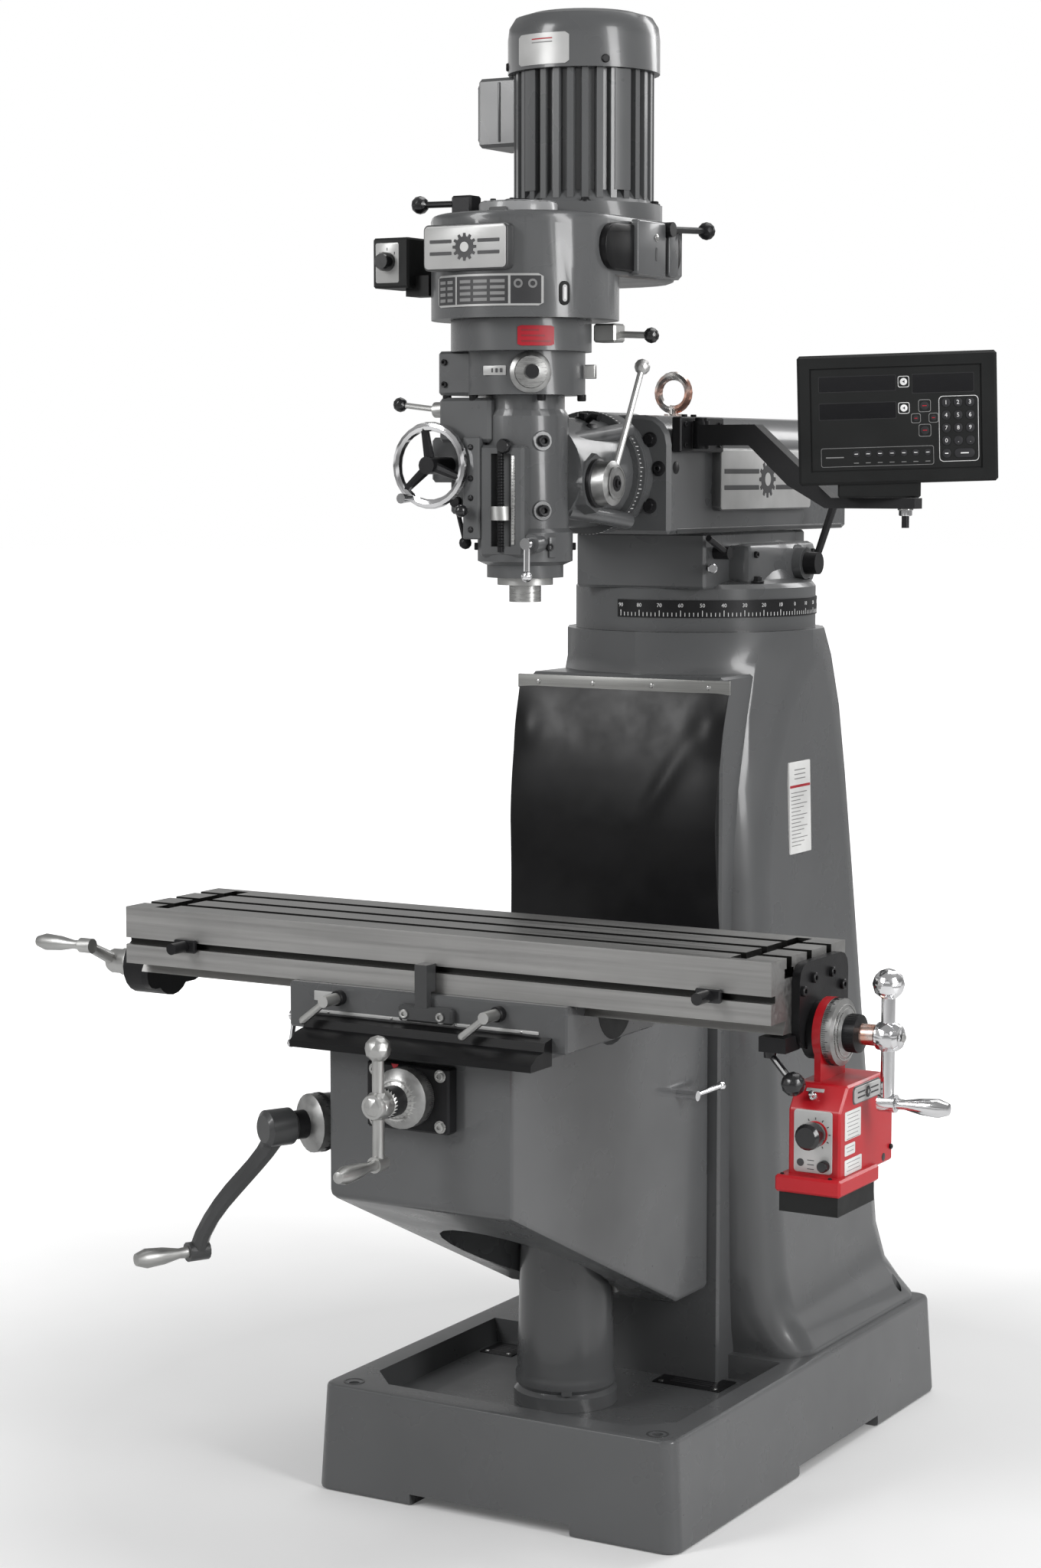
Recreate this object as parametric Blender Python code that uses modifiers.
"""Vertical knee milling machine: column and base, knee, saddle and table, turret, ram and head.

Metres, +Z up, +X to the operator's right, +Y from the operator towards the column.
The origin is the middle of the base's underside.
"""

import math

import bmesh
import bpy
from mathutils import Matrix, Vector

GAP = 0.0003  # clearance between faces that touch

# Base and column
BASE_HALF = 0.302
BASE_FRONT, BASE_REAR = -0.462, 0.490
BASE_TOP = 0.165
PAN_FLOOR = 0.1275
COLUMN_TOP = 1.30
TURRET_Y = 0.19  # the column's round top and the turret turn about this line
TURRET_RADIUS = 0.209
WAY_FACE = -0.05
WAY_HALF = 0.168
SCREW_Y = -0.237  # elevating screw and its pedestal

# Knee
KNEE_HALF = 0.152
KNEE_FRONT = -0.664
KNEE_TOP = 0.7345
CRANK_HEIGHT = 0.61
CRANK_OUT = Vector((-0.454, -0.891, 0.0)).normalized()
CROSS_HEIGHT = 0.68

# Saddle and table
SADDLE_HALF = 0.230
SADDLE_FRONT, SADDLE_REAR = -0.645, -0.385
TABLE_HALF = 0.5335
TABLE_FRONT, TABLE_REAR = -0.6316, -0.3956
TABLE_BOTTOM, TABLE_TOP = 0.8185, 0.9035
LEAD_Y, LEAD_Z = -0.51, 0.796

# Turret, ram and head
RAM_HALF = 0.12
RAM_BOTTOM, RAM_TOP = 1.455, 1.635
RAM_FRONT, RAM_REAR = -0.155, 0.51
TILT_Z = 1.548
SPINDLE_Y = -0.362
MOTOR_Y = -0.187
WHEEL_CENTRE = (-0.1115, -0.445, 1.559)  # the fine feed handwheel

# Digital readout
DRO_PIVOT = Vector((0.150, -0.09, 1.6045))
DISPLAY_PIVOT = Vector((0.474, -0.098, 1.627))

HELPERS = "cutters and joined shapes"
PARTS = "vertical milling machine"


def clear_scene():
    for obj in list(bpy.data.objects):
        bpy.data.objects.remove(obj, do_unlink=True)


def collection(name):
    found = bpy.data.collections.get(name)
    if found is None:
        found = bpy.data.collections.new(name)
        bpy.context.scene.collection.children.link(found)
    return found


# ---------------------------------------------------------------- shapes


def link(data):
    obj = bpy.data.objects.new("shape", data)
    collection(PARTS).objects.link(obj)
    return obj


def from_bmesh(bm):
    bmesh.ops.recalc_face_normals(bm, faces=bm.faces)
    data = bpy.data.meshes.new("shape")
    bm.to_mesh(data)
    bm.free()
    return link(data)


def soften(obj, width, segments=2, angle=30.0):
    """Rounds the edges that are sharper than the angle."""
    bevel = obj.modifiers.new("soften", "BEVEL")
    bevel.width = width
    bevel.segments = segments
    bevel.limit_method = "ANGLE"
    bevel.angle_limit = math.radians(angle)
    return obj


def box(low, high, edge=0.0, segments=2):
    bm = bmesh.new()
    bmesh.ops.create_cube(bm, size=1.0)
    low, high = Vector(low), Vector(high)
    size = high - low
    bmesh.ops.scale(bm, vec=size, verts=bm.verts)
    bmesh.ops.translate(bm, vec=(low + high) / 2, verts=bm.verts)
    obj = from_bmesh(bm)
    return soften(obj, edge, segments) if edge else obj


def rod(start, end, radius, end_radius=None, sides=20):
    """A cylinder, or a cone when the end has another radius."""
    start, end = Vector(start), Vector(end)
    along = end - start
    bm = bmesh.new()
    bmesh.ops.create_cone(
        bm,
        cap_ends=True,
        segments=sides,
        radius1=radius,
        radius2=radius if end_radius is None else end_radius,
        depth=along.length,
    )
    turn = along.to_track_quat("Z", "Y").to_matrix().to_4x4()
    bmesh.ops.transform(bm, matrix=Matrix.Translation((start + end) / 2) @ turn, verts=bm.verts)
    return from_bmesh(bm)


def ball(centre, radius, detail=2):
    bm = bmesh.new()
    bmesh.ops.create_icosphere(bm, subdivisions=detail, radius=radius)
    bmesh.ops.translate(bm, vec=centre, verts=bm.verts)
    return from_bmesh(bm)


def turned(origin, axis, profile, sides=28, ring=False):
    """Turns (radius, height) points about the axis. The outer side runs from top to bottom."""
    bm = bmesh.new()
    verts = [bm.verts.new((radius, 0.0, height)) for radius, height in profile]
    for first, second in zip(verts, verts[1:]):
        bm.edges.new((first, second))
    if ring:
        bm.edges.new((verts[-1], verts[0]))
    data = bpy.data.meshes.new("profile")
    bm.to_mesh(data)
    bm.free()
    obj = link(data)
    turn = Vector(axis).to_track_quat("Z", "Y").to_matrix().to_4x4()
    obj.matrix_world = Matrix.Translation(origin) @ turn
    screw = obj.modifiers.new("turn", "SCREW")
    screw.steps = screw.render_steps = sides
    screw.use_merge_vertices = True
    screw.merge_threshold = 0.0001
    return obj


PLANES = {"x": (1, 2, 0), "y": (0, 2, 1), "z": (0, 1, 2)}


def prism(points, axis, low, high, low_scale=(1.0, 1.0)):
    """Extrudes a flat outline along an axis. low_scale stretches the end at low."""
    u, v, w = PLANES[axis]
    bm = bmesh.new()
    ring = []
    for a, b in points:
        place = [0.0, 0.0, 0.0]
        place[u], place[v], place[w] = a, b, high
        ring.append(bm.verts.new(place))
    face = bm.faces.new(ring)
    made = bmesh.ops.extrude_face_region(bm, geom=[face])
    for item in made["geom"]:
        if isinstance(item, bmesh.types.BMVert):
            item.co[u] *= low_scale[0]
            item.co[v] *= low_scale[1]
            item.co[w] = low
    return from_bmesh(bm)


def arc(centre, radius, start, end, steps):
    """Points on an arc, from one angle in degrees to another."""
    angles = [math.radians(start + (end - start) * i / steps) for i in range(steps + 1)]
    return [(centre[0] + radius * math.cos(a), centre[1] + radius * math.sin(a)) for a in angles]


def round_rect(low, high, radius, steps=4):
    (x0, y0), (x1, y1) = low, high
    corners = ((x1, y0, -90), (x1, y1, 0), (x0, y1, 90), (x0, y0, 180))
    points = []
    for x, y, start in corners:
        centre = (x - radius if x == x1 else x + radius, y - radius if y == y1 else y + radius)
        points += arc(centre, radius, start, start + 90, steps)
    return points


def stadium(first, second, radius, steps=12):
    """The outline round two circles of one radius, set along the second coordinate."""
    return arc(second, radius, 0, 180, steps) + arc(first, radius, 180, 360, steps)


def tube(points, radius, scales=None, resolution=2):
    """A bent round bar through the points, its radius scaled at each one."""
    curve = bpy.data.curves.new("path", "CURVE")
    curve.dimensions = "3D"
    curve.bevel_depth = radius
    curve.bevel_resolution = resolution
    curve.use_fill_caps = True
    spline = curve.splines.new("POLY")
    spline.points.add(len(points) - 1)
    for i, (point, place) in enumerate(zip(spline.points, points)):
        point.co = (*place, 1.0)
        point.radius = scales[i] if scales else 1.0
    path = link(curve)
    graph = bpy.context.evaluated_depsgraph_get()
    data = bpy.data.meshes.new_from_object(path.evaluated_get(graph))
    bpy.data.objects.remove(path)
    bm = bmesh.new()
    bm.from_mesh(data)
    bmesh.ops.remove_doubles(bm, verts=bm.verts, dist=0.000001)
    return from_bmesh(bm)


def loft(sections):
    """Joins closed rings of points, each with the same count, into one solid."""
    bm = bmesh.new()
    rings = [[bm.verts.new(place) for place in section] for section in sections]
    for lower, upper in zip(rings, rings[1:]):
        for i in range(len(lower)):
            j = (i + 1) % len(lower)
            bm.faces.new((lower[i], lower[j], upper[j], upper[i]))
    bm.faces.new(rings[0])
    bm.faces.new(rings[-1])
    return from_bmesh(bm)


def bezier(points, steps):
    """Points on a cubic curve through its two ends, with two handles between."""
    a, b, c, d = (Vector(p) for p in points)
    made = []
    for i in range(steps + 1):
        t = i / steps
        s = 1 - t
        made.append(a * s**3 + b * 3 * s * s * t + c * 3 * s * t * t + d * t**3)
    return made


def hide(obj):
    """Puts a cutter or a joined shape with the helpers, which aren't parts."""
    for home in list(obj.users_collection):
        home.objects.unlink(obj)
    collection(HELPERS).objects.link(obj)
    obj.hide_render = True
    obj.display_type = "WIRE"


def combine(body, operation, pieces):
    for piece in pieces:
        step = body.modifiers.new(operation.lower(), "BOOLEAN")
        step.operation = operation
        step.solver = "EXACT"
        step.object = piece
        hide(piece)
    return body


def fuse(body, *pieces):
    return combine(body, "UNION", pieces)


def cut(body, *pieces):
    return combine(body, "DIFFERENCE", pieces)


def rotated(obj, origin, axis, degrees):
    """Turns a shape in place about a line through the origin given."""
    turn = Matrix.Rotation(math.radians(degrees), 4, Vector(axis))
    place = Matrix.Translation(origin)
    obj.matrix_world = place @ turn @ place.inverted() @ obj.matrix_world
    return obj


# ---------------------------------------------------------------- nodes and joints

# colour, roughness, metallic
PAINT = ((0.115, 0.118, 0.122), 0.32, 0.0)
GROUND_STEEL = ((0.55, 0.54, 0.52), 0.38, 1.0)
BLACK_STEEL = ((0.02, 0.02, 0.022), 0.45, 0.6)
CHROME = ((0.82, 0.82, 0.83), 0.08, 1.0)
SATIN = ((0.62, 0.62, 0.61), 0.35, 1.0)
BLACK_PLASTIC = ((0.012, 0.012, 0.013), 0.4, 0.0)
RUBBER = ((0.01, 0.01, 0.011), 0.35, 0.0)
RED = ((0.62, 0.012, 0.015), 0.35, 0.0)
COPPER = ((0.55, 0.30, 0.20), 0.3, 1.0)

ORIGINS = {}


def joint(name, origin, parent=None):
    """An empty on a joint's axis, which carries that body's nodes."""
    empty = bpy.data.objects.new(name, None)
    empty.empty_display_size = 0.04
    collection(PARTS).objects.link(empty)
    ORIGINS[name] = Vector(origin)
    if parent is not None:
        empty.parent = parent
        empty.location = ORIGINS[name] - ORIGINS[parent.name]
    else:
        empty.location = ORIGINS[name]
    return empty


def node(obj, name, parent, look):
    """Names a finished shape, gives it its own material and hangs it on its joint."""
    obj.name = name
    obj.data.name = name
    colour, roughness, metallic = look
    material = bpy.data.materials.new(name)
    material.use_nodes = True
    shader = material.node_tree.nodes["Principled BSDF"]
    shader.inputs["Base Color"].default_value = (*colour, 1.0)
    shader.inputs["Roughness"].default_value = roughness
    shader.inputs["Metallic"].default_value = metallic
    obj.data.materials.append(material)
    if obj.data.polygons:
        obj.data.shade_smooth()
        obj.data.set_sharp_from_angle(angle=math.radians(35))
    if parent is not None:
        obj.parent = parent
        obj.matrix_parent_inverse = Matrix.Translation(-ORIGINS[parent.name])
    return obj


def ball_lever(start, end, radius, ball_radius, ball_at=None):
    """A thin round lever with a ball on its end."""
    lever = rod(start, end, radius, sides=10)
    return fuse(lever, ball(end if ball_at is None else ball_at, ball_radius))


def crank_grip(start, out, length, radius):
    """A turned handle, slim at its root and full near its end, free to turn on its pin."""
    profile = [
        (0.0, length),
        (radius * 0.62, length * 0.97),
        (radius, length * 0.78),
        (radius * 0.86, length * 0.45),
        (radius * 0.52, length * 0.16),
        (radius * 0.60, 0.0),
        (0.0, 0.0),
    ]
    return turned(start, out, profile, sides=16)


# ---------------------------------------------------------------- column, base and pedestal


def column_section(height, half, front, rear, front_radius, rear_radius):
    """One ring of the column: a rounded rectangle that can become a full circle."""
    left = -min(half, 0.245)  # the foot flares less on the operator's left
    corners = (
        (half - front_radius, front + front_radius, front_radius, -90),
        (half - rear_radius, rear - rear_radius, rear_radius, 0),
        (left + rear_radius, rear - rear_radius, rear_radius, 90),
        (left + front_radius, front + front_radius, front_radius, 180),
    )
    points = []
    for x, y, radius, start in corners:
        points += arc((x, y), radius, start, start + 90, 5)
    return [(x, y, height) for x, y in points]


def make_column_base():
    """Base with a coolant pan, the column rising from it, and the way block on the column's front."""
    outline = round_rect((-BASE_HALF, BASE_FRONT), (BASE_HALF, BASE_REAR), 0.024)
    base = soften(prism(outline, "z", 0.0, BASE_TOP, low_scale=(1.03, 1.013)), 0.006, 2, 40)
    pan = [(-0.214, -0.427), (0.214, -0.427), (0.267, -0.372), (0.267, -0.013), (-0.267, -0.013)]
    pan.append((-0.267, -0.372))
    pan_cutter = prism(pan, "z", PAN_FLOOR, 0.21, low_scale=(0.95, 0.96))
    round_top = (TURRET_Y - TURRET_RADIUS, TURRET_RADIUS - 0.0002)
    sections = (
        (0.110, 0.290, 0.010, 0.480, 0.06, 0.040),
        (0.175, 0.286, 0.004, 0.476, 0.06, 0.045),
        (0.200, 0.270, -0.002, 0.470, 0.06, 0.055),
        (0.235, 0.252, -0.006, 0.464, 0.06, 0.070),
        (0.300, 0.240, -0.010, 0.458, 0.06, 0.080),
        (0.450, 0.231, -0.014, 0.455, 0.06, 0.085),
        (0.900, 0.205, -0.020, 0.447, 0.07, 0.110),
        (1.060, 0.199, -0.020, 0.444, 0.10, 0.130),
        (1.170, 0.201, round_top[0], 0.438, 0.15, 0.160),
        (1.255, TURRET_RADIUS, round_top[0], 0.412, round_top[1], 0.190),
        (COLUMN_TOP, TURRET_RADIUS, round_top[0], 0.399, round_top[1], round_top[1]),
    )
    column = loft([column_section(*section) for section in sections])
    ways = box((-WAY_HALF, WAY_FACE, 0.105), (WAY_HALF, 0.10, 1.235), 0.004, 1)
    cut(base, pan_cutter)
    fuse(base, column, ways)
    cut(
        base,
        box((-0.14, -0.6, -0.05), (0.136, -0.40, 0.018)),
        box((-0.14, 0.43, -0.05), (0.136, 0.6, 0.018)),
        box((0.24, -0.05, -0.05), (0.6, 0.25, 0.018)),
        box((-0.6, -0.05, -0.05), (-0.24, 0.25, 0.018)),
    )
    for x, y in ((-0.258, -0.437), (0.262, -0.431), (0.272, 0.410), (-0.272, 0.410)):
        cut(base, rod((x, y, -0.05), (x, y, 0.30), 0.0085, sides=12))
    return base


def make_pedestal():
    """The tube that stands in the pan and holds the elevating screw's nut."""
    floor = PAN_FLOOR + GAP
    profile = [
        (0.0680, 0.570),
        (0.0685, 0.400),
        (0.0720, 0.290),
        (0.0750, 0.200),
        (0.0745, 0.178),
        (0.0775, 0.172),
        (0.0775, 0.160),
        (0.0735, 0.154),
        (0.0800, 0.148),
        (0.0800, floor),
        (0.0300, floor),
        (0.0300, 0.570),
    ]
    return turned((0, SCREW_Y, 0), (0, 0, 1), profile, sides=28, ring=True)


def make_root():
    node(make_column_base(), "column_base", None, PAINT)
    node(make_pedestal(), "screw_pedestal", None, PAINT)
    cover = box((-0.185, -0.0543, 0.775), (0.185, WAY_FACE - GAP, 1.232))
    node(cover, "way_cover", None, RUBBER)


# ---------------------------------------------------------------- knee


def crank_point(distance):
    """A point on the knee crank's axis, at a distance from the elevating screw."""
    return Vector((0, SCREW_Y, CRANK_HEIGHT)) + CRANK_OUT * distance


def make_knee():
    side = [
        (KNEE_FRONT, KNEE_TOP),
        (KNEE_FRONT, 0.515),
        (-0.158, 0.279),
        (WAY_FACE - GAP, 0.279),
        (WAY_FACE - GAP, KNEE_TOP),
    ]
    knee = soften(prism(side, "x", -KNEE_HALF, KNEE_HALF), 0.010, 2)
    oval = [(0.11 * x, -0.36 + 0.17 * y) for x, y in arc((0, 0), 1.0, 0, 345, 23)]
    fuse(
        knee,
        rod(crank_point(0.25), crank_point(0.425), 0.040, sides=24),
        box((0.112, -0.350, 0.700), (KNEE_HALF - 0.001, -0.040, 0.7505)),
        box((-KNEE_HALF + 0.001, -0.350, 0.700), (-0.112, -0.040, 0.7505)),
    )
    cut(
        knee,
        box((-0.2, -0.0603, 0.46), (0.2, -0.02, 0.90)),
        box((-0.07, -0.62, 0.645), (0.07, -0.10, 0.90)),
        rod((0, SCREW_Y, 0.1), (0, SCREW_Y, 0.60), 0.082, sides=28),
        prism(oval, "z", 0.1, 0.55),
        rod((-0.3, -0.37, 0.778), (0.3, -0.37, 0.778), 0.062, sides=24),
        rod(crank_point(0.36), crank_point(0.50), 0.0127, sides=16),
        rod((0, -0.8, CROSS_HEIGHT), (0, -0.55, CROSS_HEIGHT), 0.0117, sides=16),
    )
    return knee


def make_elevating_screw():
    profile = [(0.0, 0.5995), (0.045, 0.5995), (0.045, 0.588), (0.021, 0.582), (0.021, 0.25), (0.0, 0.25)]
    return turned((0, SCREW_Y, 0), (0, 0, 1), profile, sides=20)


def make_knee_crank():
    """Dial, collar and S-shaped arm. Returns the crank and the place where its grip starts."""
    side = Vector((CRANK_OUT.y, -CRANK_OUT.x, 0.0))
    down = Vector((0, 0, -1))
    hub = crank_point(0.498)
    reach = side * 0.094 + down * 0.19
    tip = hub + reach + CRANK_OUT * 0.085
    dial = [
        (0.0, 0.523),
        (0.020, 0.523),
        (0.027, 0.518),
        (0.027, 0.480),
        (0.021, 0.474),
        (0.021, 0.456),
        (0.034, 0.452),
        (0.043, 0.446),
        (0.043, 0.4254),
        (0.0117, 0.4254),
        (0.0117, 0.365),
        (0.0, 0.365),
    ]
    crank = turned((0, SCREW_Y, CRANK_HEIGHT), CRANK_OUT, dial, sides=24)
    along = reach.normalized()
    path = bezier((hub, hub + along * 0.07 + CRANK_OUT * 0.004, tip - along * 0.10, tip), 9)
    arm = tube(path, 0.0135, [1.25, 1.15, 1.05, 1, 1, 1, 0.95, 0.9, 0.9, 0.95])
    fuse(crank, arm, rod(tip - CRANK_OUT * 0.016, tip + CRANK_OUT * 0.016, 0.0145, sides=14))
    return crank, tip + CRANK_OUT * (0.016 + GAP)


def make_cross_bracket():
    """Black plate on the knee's front that carries the cross-feed screw."""
    plate = box((-0.070, -0.688, 0.630), (0.066, KNEE_FRONT - GAP, 0.724), 0.003, 1)
    return cut(plate, rod((0, -0.8, CROSS_HEIGHT), (0, -0.6, CROSS_HEIGHT), 0.0117, sides=16))


def make_cross_crank():
    """Cross-feed screw with its dial and a ball crank."""
    profile = [
        (0.0, 0.782),
        (0.017, 0.782),
        (0.0185, 0.778),
        (0.0185, 0.752),
        (0.0215, 0.748),
        (0.0215, 0.724),
        (0.034, 0.720),
        (0.043, 0.711),
        (0.043, 0.6884),
        (0.0107, 0.6884),
        (0.0107, 0.140),
        (0.0, 0.140),
    ]
    crank = turned((0, 0, CROSS_HEIGHT), (0, -1, 0), profile, sides=24)
    top, low = (0, -0.766, 0.7595), (0, -0.766, 0.5986)
    fuse(
        crank,
        ball((0, -0.766, CROSS_HEIGHT), 0.0215),
        rod(low, top, 0.0085, sides=12),
        ball(top, 0.019),
        rod((0, -0.754, 0.5986), (0, -0.778, 0.5986), 0.0115, sides=14),
    )
    return crank


def make_knee_group():
    knee = joint("knee_body", (0, 0, 0))
    node(make_knee(), "knee", knee, PAINT)
    node(make_cross_bracket(), "cross_screw_bracket", knee, BLACK_STEEL)

    screw = joint("elevating_screw_body", (0, SCREW_Y, 0.40), knee)
    node(make_elevating_screw(), "elevating_screw", screw, GROUND_STEEL)

    turn = joint("knee_crank_body", crank_point(0.4254), knee)
    crank, grip_start = make_knee_crank()
    node(crank, "knee_crank", turn, SATIN)
    spin = joint("knee_crank_grip_body", grip_start, turn)
    node(crank_grip(grip_start, CRANK_OUT, 0.085, 0.0145), "knee_crank_grip", spin, SATIN)

    turn = joint("cross_crank_body", (0, -0.70, CROSS_HEIGHT), knee)
    node(make_cross_crank(), "cross_crank", turn, SATIN)
    start = (0, -0.778 - GAP, 0.5986)
    spin = joint("cross_crank_grip_body", start, turn)
    node(crank_grip(start, (0, -1, 0), 0.092, 0.013), "cross_crank_grip", spin, SATIN)

    pivot = (KNEE_HALF + GAP, -0.159, 0.606)
    turn = joint("knee_lock_body", pivot, knee)
    lever = rod(pivot, (0.186, -0.159, 0.606), 0.008, sides=14)
    fuse(lever, ball_lever((0.180, -0.159, 0.606), (0.181, -0.070, 0.606), 0.0042, 0.0075))
    node(lever, "knee_lock_lever", turn, CHROME)
    return knee


# ---------------------------------------------------------------- saddle


def make_saddle():
    saddle = box(
        (-SADDLE_HALF, SADDLE_FRONT, 0.752), (SADDLE_HALF, SADDLE_REAR, TABLE_BOTTOM - GAP), 0.003, 1
    )
    fuse(
        saddle,
        box((-0.108, SADDLE_FRONT + 0.004, KNEE_TOP + GAP), (0.108, SADDLE_REAR - 0.004, 0.770)),
        box((-0.028, -0.500, 0.656), (0.028, -0.460, 0.765)),
    )
    channel = [
        (-0.5854, 0.840),
        (-0.5854, TABLE_BOTTOM),
        (-0.5958, 0.7996),
        (-0.4342, 0.7996),
        (-0.4446, TABLE_BOTTOM),
        (-0.4446, 0.840),
    ]
    cut(
        saddle,
        prism(channel, "x", -0.3, 0.3),
        rod((-0.3, LEAD_Y, LEAD_Z), (0.3, LEAD_Y, LEAD_Z), 0.0135, sides=16),
        rod((0, -0.7, CROSS_HEIGHT), (0, -0.3, CROSS_HEIGHT), 0.0120, sides=16),
    )
    return saddle


def make_wiper_cover():
    """Stepped rubber cover over the knee's ways in front of the saddle."""
    front = SADDLE_FRONT - GAP
    low = KNEE_TOP + 2 * GAP
    profile = [
        (front, low),
        (-0.704, low),
        (-0.704, 0.7440),
        (-0.688, 0.7545),
        (-0.668, 0.7580),
        (-0.665, 0.7700),
        (front, 0.7740),
    ]
    return prism(profile, "x", -0.190, 0.207)


def make_stop_bracket():
    flange = box((-0.037, -0.657, 0.779), (0.052, SADDLE_FRONT - GAP, 0.802), 0.003, 1)
    upright = [
        (-0.6565, 0.785),
        (-0.6565, 0.861),
        (-0.6325, 0.861),
        (-0.6325, 0.822),
        (SADDLE_FRONT - GAP, 0.822),
        (SADDLE_FRONT - GAP, 0.785),
    ]
    return fuse(flange, prism(upright, "x", -0.009, 0.011))


def make_table_lock(x):
    """Hub and tapered lever on the saddle's front. Its hinge is the hub's axis."""
    hub = rod((x, SADDLE_FRONT - GAP, 0.801), (x, -0.690, 0.801), 0.0085, sides=14)
    lever = rod((x, -0.682, 0.801), (x - 0.036, -0.686, 0.7715), 0.0050, 0.0062, sides=10)
    return fuse(hub, lever, ball((x - 0.036, -0.686, 0.7715), 0.0064))


def make_saddle_group(knee):
    saddle = joint("saddle_body", (0, 0, 0), knee)
    node(make_saddle(), "saddle", saddle, PAINT)
    node(make_wiper_cover(), "saddle_wiper_cover", saddle, RUBBER)
    node(make_stop_bracket(), "table_stop_bracket", saddle, BLACK_STEEL)
    for name, x in (("left", -0.142), ("right", 0.123)):
        turn = joint(f"table_lock_{name}_body", (x, -0.66, 0.801), saddle)
        node(make_table_lock(x), f"table_lock_lever_{name}", turn, SATIN)
    pivot = (-SADDLE_HALF - GAP, -0.615, 0.762)
    turn = joint("saddle_lock_body", pivot, saddle)
    lever = rod(pivot, (-0.247, -0.615, 0.762), 0.0075, sides=14)
    fuse(lever, ball_lever((-0.241, -0.615, 0.762), (-0.243, -0.622, 0.722), 0.0038, 0.0065))
    node(lever, "saddle_lock_lever", turn, CHROME)
    return saddle


# ---------------------------------------------------------------- table


def table_outline():
    """End view of the table: front slot, three T-slots in the top and the dovetail below."""
    points = [
        (TABLE_FRONT, TABLE_BOTTOM),
        (TABLE_FRONT, 0.847),
        (TABLE_FRONT + 0.012, 0.847),
        (TABLE_FRONT + 0.012, 0.857),
        (TABLE_FRONT, 0.857),
        (TABLE_FRONT, TABLE_TOP),
    ]
    middle = (TABLE_FRONT + TABLE_REAR) / 2
    for slot in (-1, 0, 1):
        y = middle + slot * 0.0635
        neck, wide = 0.008, 0.014
        points += [(y - neck, TABLE_TOP), (y - neck, 0.889), (y - wide, 0.889), (y - wide, 0.876)]
        points += [(y + wide, 0.876), (y + wide, 0.889), (y + neck, 0.889), (y + neck, TABLE_TOP)]
    points += [
        (TABLE_REAR, TABLE_TOP),
        (TABLE_REAR, TABLE_BOTTOM),
        (-0.445, TABLE_BOTTOM),
        (-0.435, 0.800),
        (-0.595, 0.800),
        (-0.585, TABLE_BOTTOM),
    ]
    return points


def make_table():
    table = prism(table_outline(), "x", -TABLE_HALF, TABLE_HALF)
    for side in (-1, 1):
        low, high = sorted((side * 0.466, side * 0.490))
        cut(table, box((low, TABLE_FRONT + 0.014, TABLE_TOP - 0.010), (high, TABLE_REAR - 0.014, 1.0)))
    return cut(table, rod((-0.6, LEAD_Y, LEAD_Z), (0.6, LEAD_Y, LEAD_Z), 0.0135, sides=16))


def lead_hole():
    return rod((-0.7, LEAD_Y, LEAD_Z), (0.7, LEAD_Y, LEAD_Z), 0.0117, sides=16)


def make_left_bracket():
    near = -TABLE_HALF - GAP
    plate = prism(round_rect((-0.580, 0.768), (-0.440, 0.884), 0.02, 3), "x", near - 0.012, near)
    boss = rod((near - 0.004, LEAD_Y, LEAD_Z), (-0.600, LEAD_Y, LEAD_Z), 0.044)
    return cut(fuse(plate, boss), lead_hole())


def make_right_bracket():
    """End plate with the leadscrew's bearing, and the block that carries the feed lever."""
    near = TABLE_HALF + GAP
    plate = prism(round_rect((-0.569, 0.775), (-0.412, 0.893), 0.024, 3), "x", near, near + 0.012)
    fuse(
        plate,
        rod((near + 0.004, LEAD_Y, LEAD_Z), (0.5575, LEAD_Y, LEAD_Z), 0.040),
        box((0.500, -0.600, 0.776), (near + 0.0060, -0.555, 0.7965)),
    )
    return cut(plate, lead_hole())


def make_stop_dog(x):
    """Round stop that can be set along the table's front slot."""
    block = box((x - 0.019, TABLE_FRONT - 0.009, 0.843), (x + 0.019, TABLE_FRONT - GAP, 0.862), 0.002, 1)
    return fuse(block, rod((x, TABLE_FRONT - 0.004, 0.8525), (x, -0.672, 0.8525), 0.0085, sides=14))


def make_left_crank():
    profile = [(0.0, 0.656), (0.016, 0.656), (0.019, 0.650), (0.019, 0.634), (0.021, 0.630)]
    profile += [(0.021, 0.612), (0.034, 0.609), (0.034, 0.6003), (0.0, 0.6003)]
    crank = turned((0, LEAD_Y, LEAD_Z), (-1, 0, 0), profile, sides=20)
    tip = Vector((-0.650, -0.577, 0.828))
    fuse(
        crank,
        rod((-0.646, LEAD_Y, LEAD_Z), tip, 0.0105, 0.0080, sides=12),
        rod(tip + Vector((0.010, 0, 0)), tip - Vector((0.012, 0, 0)), 0.0115, sides=14),
    )
    return crank, tip - Vector((0.012 + GAP, 0, 0))


def make_right_crank():
    profile = [
        (0.0, 0.668),
        (0.015, 0.668),
        (0.019, 0.662),
        (0.019, 0.636),
        (0.0145, 0.632),
        (0.0145, 0.612),
        (0.026, 0.609),
        (0.026, 0.592),
        (0.034, 0.588),
        (0.046, 0.584),
        (0.046, 0.5703),
        (0.0, 0.5703),
    ]
    crank = turned((0, LEAD_Y, LEAD_Z), (1, 0, 0), profile, sides=24)
    top, low = Vector((0.649, LEAD_Y, 0.867)), Vector((0.649, LEAD_Y, 0.7055))
    fuse(
        crank,
        ball((0.649, LEAD_Y, LEAD_Z), 0.0225),
        rod(low, top, 0.0095, sides=12),
        ball(top, 0.022),
        rod(low - Vector((0.011, 0, 0)), low + Vector((0.013, 0, 0)), 0.0125, sides=14),
    )
    return crank, low + Vector((0.013 + GAP, 0, 0))


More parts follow.
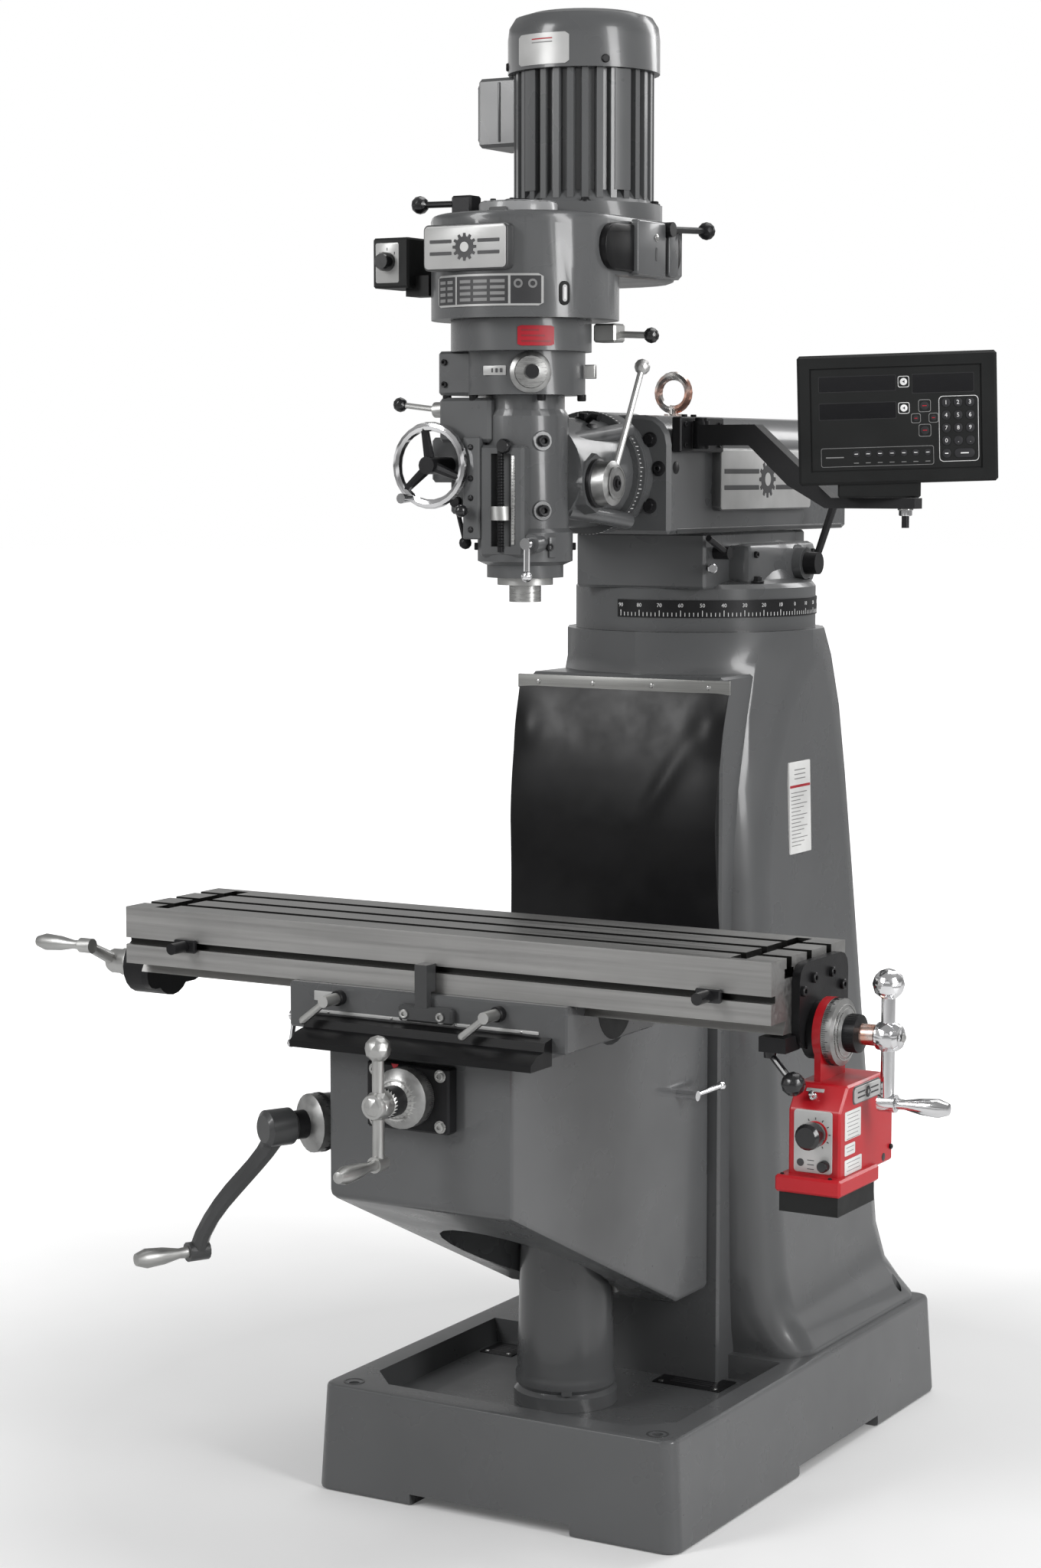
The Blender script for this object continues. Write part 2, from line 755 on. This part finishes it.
def make_power_feed():
    """Red gearbox on the leadscrew's end, with a black foot under its lip."""
    side = [
        (-0.585, 0.605),
        (-0.585, 0.700),
        (-0.560, 0.733),
        (-0.440, 0.733),
        (-0.410, 0.705),
        (-0.410, 0.605),
    ]
    housing = soften(prism(side, "x", 0.538, 0.614), 0.003, 1)
    fuse(
        housing,
        box((0.526, -0.602, 0.589), (0.622, -0.472, 0.612), 0.003, 1),
        box((0.531, -0.597, 0.562), (0.617, -0.478, 0.597)),
        box((0.5592, -0.550, 0.715), (0.5686, -0.470, 0.790)),
        rod((0.558, LEAD_Y, LEAD_Z), (0.5698, LEAD_Y, LEAD_Z), 0.047, sides=24),
    )
    return cut(housing, lead_hole())


def make_table_group(saddle):
    table = joint("table_body", (0, 0, 0), saddle)
    node(make_table(), "table", table, GROUND_STEEL)
    node(make_left_bracket(), "left_end_bracket", table, BLACK_STEEL)
    node(make_right_bracket(), "right_end_bracket", table, BLACK_STEEL)
    for name, x in (("left", -0.421), ("right", 0.443)):
        slide = joint(f"stop_dog_{name}_body", (x, TABLE_FRONT, 0.8525), table)
        node(make_stop_dog(x), f"stop_dog_{name}", slide, BLACK_STEEL)

    lead = joint("table_leadscrew_body", (0, LEAD_Y, LEAD_Z), table)
    screw = rod((-0.600, LEAD_Y, LEAD_Z), (0.570, LEAD_Y, LEAD_Z), 0.0107, sides=16)
    node(screw, "table_leadscrew", lead, GROUND_STEEL)
    left, start = make_left_crank()
    node(left, "left_crank", lead, SATIN)
    spin = joint("left_crank_grip_body", start, lead)
    node(crank_grip(start, (-1, 0, 0), 0.085, 0.013), "left_crank_grip", spin, SATIN)
    right, start = make_right_crank()
    node(right, "right_crank", lead, CHROME)
    spin = joint("right_crank_grip_body", start, lead)
    node(crank_grip(start, (1, 0, 0), 0.078, 0.013), "right_crank_grip", spin, CHROME)

    node(make_power_feed(), "power_feed_housing", table, RED)
    pivot = Vector((0.508, -0.580, 0.776 - GAP))
    turn = joint("power_feed_lever_body", pivot, table)
    lever = rod(pivot, pivot - Vector((0, 0, 0.010)), 0.009, sides=12)
    fuse(lever, ball_lever(pivot - Vector((0, 0, 0.005)), (0.552, -0.600, 0.737), 0.0048, 0.017))
    node(lever, "power_feed_lever", turn, BLACK_STEEL)
    centre = (0.579, -0.585 - GAP, 0.670)
    turn = joint("power_feed_speed_body", centre, table)
    crown = [(0.0, 0.033), (0.014, 0.033), (0.018, 0.028), (0.018, 0.012)]
    knob = [*crown, (0.012, 0.008), (0.012, 0.0), (0.0, 0.0)]
    node(turned(centre, (0, -1, 0), knob, sides=18), "power_feed_speed_knob", turn, BLACK_PLASTIC)


# ---------------------------------------------------------------- turret and ram


def make_turret():
    """Swivel ring on the column's top, with the block that guides the ram."""
    profile = [
        (0.0, 1.410),
        (0.140, 1.410),
        (0.160, 1.380),
        (0.188, 1.374),
        (0.194, 1.367),
        (0.194, COLUMN_TOP + GAP),
        (0.0, COLUMN_TOP + GAP),
    ]
    turret = turned((0, TURRET_Y, 0), (0, 0, 1), profile, sides=36)
    fuse(
        turret,
        box((-0.114, -0.004, 1.368), (0.114, 0.360, RAM_BOTTOM - GAP), 0.004, 1),
        box((0.040, 0.080, 1.370), (0.150, 0.330, 1.437), 0.012, 2),
        rod((0.060, 0.258, 1.403), (0.150, 0.258, 1.403), 0.046, 0.030, sides=20),
        rod((0.120, 0.258, 1.403), (0.165, 0.258, 1.403), 0.026, sides=18),
    )
    return turret


def make_ram():
    body = prism(
        arc((0.075, 1.590), 0.045, 0, 90, 4)
        + arc((-0.075, 1.590), 0.045, 90, 180, 4)
        + [(-RAM_HALF, RAM_BOTTOM), (RAM_HALF, RAM_BOTTOM)],
        "y",
        -0.135,
        RAM_REAR,
    )
    soften(body, 0.006, 1, 40)
    return fuse(body, rod((0, -0.05, TILT_Z), (0, RAM_FRONT + GAP, TILT_Z), 0.092, sides=32))


def make_lifting_eye():
    centre, major, minor = Vector((0, 0.108, 1.674)), 0.0268, 0.0068
    ring = [(major + r, h) for r, h in arc((0, 0), minor, 90, -225, 7)]
    eye = turned(centre, (0, 1, 0), ring, sides=22, ring=True)
    return fuse(
        eye,
        rod((0, 0.108, RAM_TOP + GAP), (0, 0.108, 1.6405), 0.015, sides=16),
        rod((0, 0.108, RAM_TOP + 0.003), (0, 0.108, 1.649), 0.0075, sides=12),
    )


def make_pinion_lever(pivot):
    """Handle that racks the ram along."""
    hub = rod(pivot, pivot + Vector((0.022, 0, 0)), 0.018, sides=18)
    root = pivot + Vector((0.014, 0, 0))
    return fuse(hub, rod(root, root + Vector((0.004, 0.072, 0.104)), 0.0058, 0.0068, sides=10))


def make_ram_lock(pivot):
    hub = rod(pivot, pivot + Vector((0.026, 0, 0)), 0.010, sides=14)
    root = pivot + Vector((0.020, 0, 0))
    return fuse(hub, rod(root, root + Vector((0, -0.062, 0.024)), 0.0052, sides=10))


def make_dro_arm():
    """Flat bar from the clamp on the ram down to the display's bracket, with a stud under its end."""
    path = [
        (0.150, 1.620),
        (0.246, 1.620),
        (0.320, 1.556),
        (0.372, 1.5115),
        (0.505, 1.5115),
        (0.505, 1.4960),
        (0.362, 1.4960),
        (0.300, 1.530),
        (0.236, 1.589),
        (0.150, 1.589),
    ]
    arm = prism(path, "y", -0.104, -0.076)
    low, high = DRO_PIVOT.copy(), DRO_PIVOT.copy()
    low.z, high.z = 1.584, 1.626
    stud = rod((0.485, -0.09, 1.468), (0.485, -0.09, 1.501), 0.0055, sides=12)
    return fuse(arm, rod(low, high, 0.0125, sides=18), stud)


def make_display():
    """Readout box turned towards the operator, with a sunk face and a bracket under it."""
    x, y, z = DISPLAY_PIVOT
    shell = box((x - 0.144, y - 0.020, z - 0.094), (x + 0.144, y + 0.020, z + 0.094), 0.004, 1)
    rotated(shell, DISPLAY_PIVOT, (0, 1, 0), -1.7)
    face = box((x - 0.126, y - 0.030, z - 0.075), (x + 0.122, y - 0.017, z + 0.075))
    rotated(face, DISPLAY_PIVOT, (0, 1, 0), -1.7)
    bracket = box((x - 0.085, y - 0.014, 1.5118), (x + 0.035, y + 0.016, 1.550), 0.003, 1)
    for piece in (shell, face, bracket):
        rotated(piece, DISPLAY_PIVOT, (0, 0, 1), 22)
    return cut(fuse(shell, bracket), face)


def make_ram_group():
    turret = joint("turret_body", (0, TURRET_Y, COLUMN_TOP))
    node(make_turret(), "turret", turret, PAINT)
    pivot = Vector((0.165 + GAP, 0.258, 1.403))
    turn = joint("ram_pinion_body", pivot, turret)
    node(make_pinion_lever(pivot), "ram_pinion_lever", turn, BLACK_STEEL)
    pivot = Vector((0.114 + GAP, 0.030, 1.424))
    turn = joint("ram_lock_body", pivot, turret)
    node(make_ram_lock(pivot), "ram_lock_lever", turn, BLACK_STEEL)

    ram = joint("ram_body", (0, TURRET_Y, RAM_BOTTOM), turret)
    node(make_ram(), "ram", ram, PAINT)
    node(make_lifting_eye(), "lifting_eye", ram, COPPER)
    clamp = box((RAM_HALF + GAP, -0.130, 1.579), (0.1365, 0.014, 1.632), 0.002, 1)
    node(clamp, "dro_clamp", ram, BLACK_STEEL)
    arm = joint("dro_arm_body", DRO_PIVOT, ram)
    node(make_dro_arm(), "dro_arm", arm, BLACK_STEEL)
    display = joint("dro_display_body", DISPLAY_PIVOT, arm)
    node(make_display(), "dro_display", display, BLACK_PLASTIC)
    return ram


# ---------------------------------------------------------------- head


def make_head_casting():
    """Quill housing with its barrel to the ram, feed boss, gearbox and depth-stop slot."""
    profile = [
        (0.0, 1.660),
        (0.058, 1.660),
        (0.058, 1.640),
        (0.064, 1.630),
        (0.064, 1.468),
        (0.070, 1.462),
        (0.070, 1.420),
        (0.0563, 1.414),
        (0.0563, 1.396),
        (0.0, 1.396),
    ]
    head = turned((0, SPINDLE_Y, 0), (0, 0, 1), profile, sides=28)
    back = RAM_FRONT - GAP
    fuse(
        head,
        box((-0.037, -0.432, 1.427), (0.037, -0.350, 1.588), 0.004, 1),
        rod((0, -0.340, TILT_Z), (0, back - 0.010, TILT_Z), 0.0825, sides=28),
        rod((0, back - 0.026, TILT_Z), (0, back, TILT_Z), 0.092, sides=32),
        rod((0.020, -0.300, 1.533), (0.085, -0.300, 1.533), 0.053, 0.043, sides=8),
        box((-0.107, -0.430, 1.592), (-0.020, -0.302, 1.657), 0.005, 1),
        box((-0.142, -0.395, 1.534), (-0.040, -0.325, 1.600), 0.005, 1),
        box((-0.106, -0.400, 1.488), (-0.045, -0.345, 1.545), 0.004, 1),
        box((-0.062, -0.437, 1.452), (-0.034, -0.350, 1.600), 0.002, 1),
        rod((0.046, -0.350, 1.4465), (0.046, -0.426, 1.4465), 0.014, sides=16),
    )
    cut(
        head,
        box((-0.0165, -0.500, 1.442), (0.0165, -0.416, 1.576)),
        rod((0, SPINDLE_Y, 1.30), (0, SPINDLE_Y, 1.622), 0.0413, sides=28),
    )
    return fuse(head, rod((0, -0.433, 1.434), (0, -0.433, 1.582), 0.0045, sides=12))


def make_handwheel():
    """Rim, hub, three spokes and a handle, on a shaft along Y."""
    x, y, z = WHEEL_CENTRE
    rim = [(0.0565 + r, h) for r, h in arc((0, 0), 0.0070, 90, -225, 7)]
    wheel = turned((x, y, z), (0, -1, 0), rim, sides=26, ring=True)
    fuse(wheel, rod((x, -0.395 - GAP, z), (x, -0.457, z), 0.013, sides=16))
    for degrees in (100, 220, 340):
        turn = math.radians(degrees)
        end = (x + 0.0565 * math.cos(turn), y, z + 0.0565 * math.sin(turn))
        fuse(wheel, rod((x, y, z), end, 0.0085, 0.0058, sides=8))
    turn = math.radians(238)
    knob = Vector((x + 0.0565 * math.cos(turn), y, z + 0.0565 * math.sin(turn)))
    return fuse(wheel, rod(knob, knob + Vector((0, -0.034, 0)), 0.0045, 0.0075, sides=12))


def make_gear_housing():
    """Drum with the feed gearbox on its left, and the wider neck under the belt housing."""
    low = 1.660 + GAP
    drum = rod((0, SPINDLE_Y, low), (0, SPINDLE_Y, 1.7255), 0.088, sides=32)
    fuse(
        drum,
        box((-0.108, -0.430, low), (-0.030, -0.302, 1.724), 0.004, 1),
        rod((0, -0.373, 1.7225), (0, -0.373, 1.768 - GAP), 0.1026, sides=32),
    )
    return cut(drum, rod((0, SPINDLE_Y, 1.70), (0, SPINDLE_Y, 1.80), 0.0225, sides=16))


def make_belt_housing():
    """Hollow cover over both pulleys, with a bearing cap on top and the brake's bracket on its right."""
    front, rear = (0, SPINDLE_Y), (0, MOTOR_Y)
    shell = soften(prism(stadium(front, rear, 0.137), "z", 1.830, 1.918), 0.008, 2, 40)
    fuse(
        shell,
        rod((*front, 1.768), (*front, 1.900), 0.1368, sides=36),
        rod((0, -0.382, 1.910), (0, -0.382, 1.936), 0.056, sides=28),
        box((0.100, -0.265, 1.834), (0.142, -0.135, 1.912), 0.006, 1),
    )
    cut(
        shell,
        prism(stadium(front, rear, 0.127), "z", 1.842, 1.906),
        rod((*front, 1.782), (*front, 1.850), 0.1264, sides=36),
        rod((*front, 1.700), (*front, 1.800), 0.0240, sides=16),
        rod((*rear, 1.890), (*rear, 1.950), 0.0240, sides=16),
    )
    return shell


def make_spindle_pulley():
    profile = [
        (0.0, 1.900),
        (0.066, 1.900),
        (0.066, 1.894),
        (0.058, 1.890),
        (0.058, 1.858),
        (0.066, 1.852),
        (0.085, 1.838),
        (0.085, 1.790),
        (0.020, 1.786),
        (0.020, 1.706),
        (0.0, 1.706),
    ]
    return turned((0, SPINDLE_Y, 0), (0, 0, 1), profile, sides=22)


def make_rotor():
    profile = [
        (0.0, 2.055),
        (0.012, 2.055),
        (0.012, 1.900),
        (0.066, 1.900),
        (0.066, 1.894),
        (0.058, 1.890),
        (0.058, 1.858),
        (0.066, 1.854),
        (0.066, 1.848),
        (0.0, 1.848),
    ]
    return turned((0, MOTOR_Y, 0), (0, 0, 1), profile, sides=22)


def make_belt():
    front, rear = (0, SPINDLE_Y), (0, MOTOR_Y)
    belt = prism(stadium(front, rear, 0.0645), "z", 1.864, 1.884)
    return cut(belt, prism(stadium(front, rear, 0.0587), "z", 1.850, 1.900))


def make_motor():
    """Finned barrel on its foot flange, with the terminal box on the left."""
    fins = []
    count, outer, inner = 30, 0.105, 0.0945
    for i in range(count):
        middle = 360 / count * i
        for radius, turn in ((outer, -2.6), (outer, 2.6), (inner, 3.6), (inner, 8.4)):
            angle = math.radians(middle + turn)
            fins.append((radius * math.cos(angle), MOTOR_Y + radius * math.sin(angle)))
    motor = prism(fins, "z", 1.950, 2.138 - GAP)
    fuse(
        motor,
        rod((0, MOTOR_Y, 1.918 + GAP), (0, MOTOR_Y, 1.944), 0.118, sides=32),
        rod((0, MOTOR_Y, 1.940), (0, MOTOR_Y, 1.962), 0.112, 0.096, sides=32),
        box((-0.156, -0.236, 2.0345), (-0.080, -0.138, 2.137), 0.005, 1),
    )
    return cut(motor, rod((0, MOTOR_Y, 1.88), (0, MOTOR_Y, 2.065), 0.0145, sides=16))


def make_fan_cover():
    profile = [
        (0.0, 2.225),
        (0.082, 2.225),
        (0.103, 2.2185),
        (0.1115, 2.205),
        (0.1136, 2.188),
        (0.1136, 2.138),
        (0.0, 2.138),
    ]
    return turned((0, MOTOR_Y, 0), (0, 0, 1), profile, sides=36)


def make_switch_box():
    case = box((-0.223, -0.425, 1.818), (-0.161, -0.345, 1.891), 0.003, 1)
    return fuse(case, box((-0.178, -0.405, 1.806), (-0.1385, -0.365, 1.836)))


def make_quill_group(head):
    quill = joint("quill_body", (0, SPINDLE_Y, 1.385), head)
    sleeve = [(0.041, 1.600), (0.041, 1.385), (0.0237, 1.385), (0.0237, 1.600)]
    node(turned((0, SPINDLE_Y, 0), (0, 0, 1), sleeve, sides=28, ring=True), "quill", quill, SATIN)
    spindle = joint("spindle_body", (0, SPINDLE_Y, 1.360), quill)
    outside = [(0.0, 1.598), (0.0234, 1.598), (0.0234, 1.360)]
    profile = [*outside, (0.0158, 1.360), (0.0115, 1.440), (0.0, 1.440)]
    node(turned((0, SPINDLE_Y, 0), (0, 0, 1), profile, sides=24), "spindle", spindle, GROUND_STEEL)


def make_quill_controls(head):
    """The levers, wheel and stop round the quill housing."""
    pivot = Vector((0.085 + GAP, -0.300, 1.533))
    turn = joint("quill_feed_body", pivot, head)
    crown = [(0.0, 0.034), (0.022, 0.034), (0.033, 0.028), (0.033, 0.008)]
    hub = [*crown, (0.036, 0.006), (0.036, 0.0), (0.0, 0.0)]
    lever = turned(pivot, (1, 0, 0), hub, sides=22)
    fuse(lever, ball_lever((0.110, -0.296, 1.541), (0.1165, -0.2176, 1.704), 0.0050, 0.0120))
    node(lever, "quill_feed_lever", turn, CHROME)

    pivot = Vector((0.046, -0.426 - GAP, 1.4465))
    turn = joint("quill_lock_body", pivot, head)
    lever = rod(pivot, pivot + Vector((0, -0.016, 0)), 0.0085, sides=14)
    fuse(lever, ball_lever(pivot + Vector((0, -0.010, 0)), (0.050, -0.444, 1.400), 0.0045, 0.0085))
    node(lever, "quill_lock_lever", turn, CHROME)

    turn = joint("fine_feed_body", WHEEL_CENTRE, head)
    node(make_handwheel(), "fine_feed_handwheel", turn, CHROME)

    pivot = Vector((-0.093, -0.400 - GAP, 1.506))
    turn = joint("feed_trip_body", pivot, head)
    lever = rod(pivot, pivot + Vector((0, -0.009, 0)), 0.0080, sides=12)
    fuse(lever, ball_lever(pivot + Vector((0, -0.005, 0)), (-0.0765, -0.405, 1.446), 0.0034, 0.0095))
    node(lever, "feed_trip_lever", turn, BLACK_STEEL)

    slide = joint("depth_stop_body", (0, -0.433, 1.489), head)
    nut = [(0.0150, 1.500), (0.0150, 1.480), (0.0049, 1.480), (0.0049, 1.500)]
    node(turned((0, -0.433, 0), (0, 0, 1), nut, sides=18, ring=True), "depth_stop_nut", slide, SATIN)

    pivot = Vector((-0.107 - GAP, -0.405, 1.640))
    turn = joint("feed_engage_body", pivot, head)
    lever = rod(pivot, pivot - Vector((0.020, 0, 0)), 0.0115, sides=14)
    fuse(lever, ball_lever(pivot - Vector((0.012, 0, 0)), (-0.185, -0.410, 1.648), 0.0042, 0.0110))
    node(lever, "feed_engage_lever", turn, BLACK_STEEL)


def make_drive_controls(head):
    """The selector, levers and switch above the quill housing."""
    out = Vector((0.574, -0.819, 0.0)).normalized()
    base = Vector((0, SPINDLE_Y, 1.692)) + out * 0.0884
    turn = joint("feed_selector_body", base, head)
    grip = [(0.0, 0.030), (0.010, 0.030), (0.011, 0.026), (0.011, 0.012)]
    dial = [*grip, (0.023, 0.010), (0.023, 0.0), (0.0, 0.0)]
    node(turned(base, out, dial, sides=20), "feed_selector_knob", turn, SATIN)

    pivot = Vector((0.142 + GAP, -0.200, 1.904))
    turn = joint("brake_body", pivot, head)
    lever = rod(pivot, pivot + Vector((0.016, 0, 0)), 0.011, sides=14)
    fuse(lever, ball_lever(pivot + Vector((0.010, 0, 0)), (0.162, -0.100, 1.908), 0.0048, 0.0135))
    node(lever, "brake_lever", turn, BLACK_STEEL)

    turn = joint("belt_tension_body", (-0.095, -0.370, 1.935), head)
    lever = box((-0.112, -0.386, 1.918 + GAP), (-0.078, -0.354, 1.951), 0.003, 1)
    fuse(lever, ball_lever((-0.100, -0.370, 1.940), (-0.1745, -0.370, 1.941), 0.0048, 0.0135))
    node(lever, "belt_tension_lever", turn, BLACK_STEEL)

    turn = joint("range_body", (0.105, -0.300, 1.750), head)
    lever = box((0.0870, -0.316, 1.737), (0.124, -0.284, 1.764), 0.003, 1)
    fuse(lever, ball_lever((0.110, -0.300, 1.749), (0.175, -0.300, 1.746), 0.0048, 0.0115))
    node(lever, "range_lever", turn, BLACK_STEEL)

    node(make_switch_box(), "switch_box", head, BLACK_PLASTIC)
    centre = (-0.1975, -0.425 - GAP, 1.856)
    turn = joint("switch_body", centre, head)
    knob = [(0.0, 0.018), (0.011, 0.018), (0.014, 0.010), (0.014, 0.0), (0.0, 0.0)]
    node(turned(centre, (0, -1, 0), knob, sides=16), "switch_knob", turn, BLACK_PLASTIC)


def make_head_group(ram):
    head = joint("head_body", (0, RAM_FRONT, TILT_Z), ram)
    node(make_head_casting(), "head_casting", head, PAINT)
    node(make_gear_housing(), "gear_housing", head, PAINT)
    node(make_belt_housing(), "belt_housing", head, PAINT)
    node(make_motor(), "motor_body", head, PAINT)
    node(make_fan_cover(), "motor_fan_cover", head, PAINT)
    node(make_belt(), "drive_belt", head, RUBBER)
    pulley = joint("spindle_pulley_body", (0, SPINDLE_Y, 1.80), head)
    node(make_spindle_pulley(), "spindle_pulley", pulley, SATIN)
    rotor = joint("motor_rotor_body", (0, MOTOR_Y, 1.90), head)
    node(make_rotor(), "motor_rotor", rotor, SATIN)
    make_quill_group(head)
    make_quill_controls(head)
    make_drive_controls(head)


def main():
    clear_scene()
    make_root()
    knee = make_knee_group()
    saddle = make_saddle_group(knee)
    make_table_group(saddle)
    ram = make_ram_group()
    make_head_group(ram)


main()
